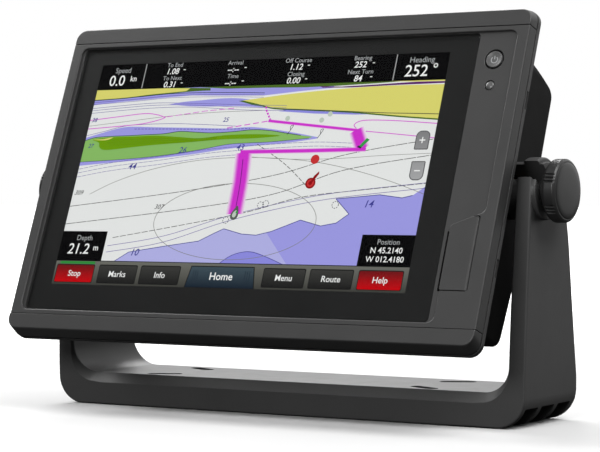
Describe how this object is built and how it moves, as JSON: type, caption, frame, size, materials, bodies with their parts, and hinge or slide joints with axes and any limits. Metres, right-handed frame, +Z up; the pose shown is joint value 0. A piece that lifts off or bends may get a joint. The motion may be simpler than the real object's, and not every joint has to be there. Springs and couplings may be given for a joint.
{
  "type": "chartplotter display",
  "caption": "Wide marine chartplotter with a glass-fronted screen, power button and card door, leaning back on a U-shaped bail mount with two clamp knobs.",
  "frame": {"origin": "on the underside of the bail's base, at its middle rib, straight below the tilt axis", "axes": "+X to the viewer's right along the tilt axis, +Y from the screen's side to the back, +Z up from the surface the base stands on"},
  "size_m": [0.2896, 0.1016, 0.1868],
  "materials": {
    "case_plastic": "fine moulded texture, mid grey-black",
    "housing_plastic": "fine moulded texture, near black",
    "bail_plastic": "satin moulded charcoal",
    "knob_plastic": "satin moulded charcoal",
    "rubber": "soft matte",
    "nylon": "satin black",
    "cover_glass": "gloss, black printed border",
    "sensor_lens": "smoked, polished",
    "display_cell": "lit panel",
    "steel": "plated",
    "brass": "turned",
    "aluminium": "mill finish",
    "circuit_board": "solder mask",
    "ceramic": "fired, unglazed",
    "card_plastic": "moulded"
  },
  "bodies": {
    "bail": {"bail_bracket": "bail_plastic"},
    "pivot_carriage": {"stud_sleeve_left": "nylon", "stud_sleeve_right": "nylon"},
    "display": {"backlight_tray": "steel", "board_screw_bottom_1": "steel", "board_screw_bottom_2": "steel", "board_screw_top_1": "steel", "board_screw_top_2": "steel", "bottom_trim_cap": "case_plastic", "button_board": "circuit_board", "button_seal": "rubber", "card_board": "circuit_board", "card_door_pin": "steel", "card_socket_lower": "steel", "card_socket_upper": "steel", "case_screw_bottom_1": "steel", "case_screw_bottom_2": "steel", "case_screw_bottom_3": "steel", "case_screw_bottom_4": "steel", "case_screw_top_1": "steel", "case_screw_top_2": "steel", "case_screw_top_3": "steel", "case_screw_top_4": "steel", "chassis_plate": "aluminium", "cover_glass": "cover_glass", "front_bezel": "case_plastic", "glass_adhesive": "rubber", "gps_antenna": "ceramic", "heat_sink": "aluminium", "housing_gasket": "rubber", "lcd_panel": "display_cell", "light_sensor_chip": "nylon", "light_sensor_lens": "sensor_lens", "main_board": "circuit_board", "port_data": "steel", "port_network": "steel", "port_power": "steel", "port_sonar": "steel", "power_switch": "nylon", "pressure_vent": "nylon", "rear_housing": "housing_plastic", "shield_can": "steel", "threaded_insert_left": "brass", "threaded_insert_right": "brass", "top_trim_cap": "case_plastic"},
    "washer_left": {"knob_washer_left": "nylon"},
    "washer_right": {"knob_washer_right": "nylon"},
    "knob_left": {"knob_grip_left": "knob_plastic", "knob_stud_left": "steel"},
    "knob_right": {"knob_grip_right": "knob_plastic", "knob_stud_right": "steel"},
    "power_button": {"power_button": "rubber"},
    "card_door": {"card_door": "case_plastic", "card_door_seal": "rubber"},
    "memory_card_upper": {"memory_card_upper": "card_plastic"},
    "memory_card_lower": {"memory_card_lower": "card_plastic"},
    "port_cap_data": {"port_cap_data": "rubber"},
    "port_cap_sonar": {"port_cap_sonar": "rubber"}
  },
  "joints": [
    {"name": "mount_lift", "type": "slide", "parent": "bail", "child": "pivot_carriage", "axis": [0, -0.7071, 0.7071], "range_m": [0, 0.03]},
    {"name": "display_tilt", "type": "hinge", "parent": "pivot_carriage", "child": "display", "pos_m": [0, 0, 0.1055], "axis": [-1, 0, 0], "range_deg": [-22, 38]},
    {"name": "washer_slide_left", "type": "slide", "parent": "display", "child": "washer_left", "axis": [-1, 0, 0], "range_m": [0, 0.002]},
    {"name": "knob_turn_left", "type": "hinge", "parent": "washer_left", "child": "knob_left", "pos_m": [-0.14, 0, 0.1055], "axis": [-1, 0, 0], "range_deg": [0, 720]},
    {"name": "washer_slide_right", "type": "slide", "parent": "display", "child": "washer_right", "axis": [1, 0, 0], "range_m": [0, 0.002]},
    {"name": "knob_turn_right", "type": "hinge", "parent": "washer_right", "child": "knob_right", "pos_m": [0.14, 0, 0.1055], "axis": [1, 0, 0], "range_deg": [0, 720]},
    {"name": "power_button_press", "type": "slide", "parent": "display", "child": "power_button", "axis": [0, 0.9291, -0.3697], "range_m": [0, 0.0008], "stiffness_N_per_m": 1500, "springref_m": -0.0008},
    {"name": "card_door_open", "type": "hinge", "parent": "display", "child": "card_door", "pos_m": [0.118, -0.04197, 0.07818], "axis": [0, 0.3697, 0.9291], "range_deg": [0, 90]},
    {"name": "memory_card_upper_push", "type": "slide", "parent": "display", "child": "memory_card_upper", "axis": [0, -0.9291, 0.3697], "range_m": [-0.0008, 0.004]},
    {"name": "memory_card_lower_push", "type": "slide", "parent": "display", "child": "memory_card_lower", "axis": [0, -0.9291, 0.3697], "range_m": [-0.0008, 0.004]},
    {"name": "port_cap_data_pull", "type": "slide", "parent": "display", "child": "port_cap_data", "axis": [0, 0.9291, -0.3697], "range_m": [0, 0.012]},
    {"name": "port_cap_sonar_pull", "type": "slide", "parent": "display", "child": "port_cap_sonar", "axis": [0, 0.9291, -0.3697], "range_m": [0, 0.012]}
  ],
  "couplings": [
    {"joint": "knob_turn_left", "follows": "washer_slide_left", "rad_per_m": 6283},
    {"joint": "knob_turn_right", "follows": "washer_slide_right", "rad_per_m": 6283}
  ]
}
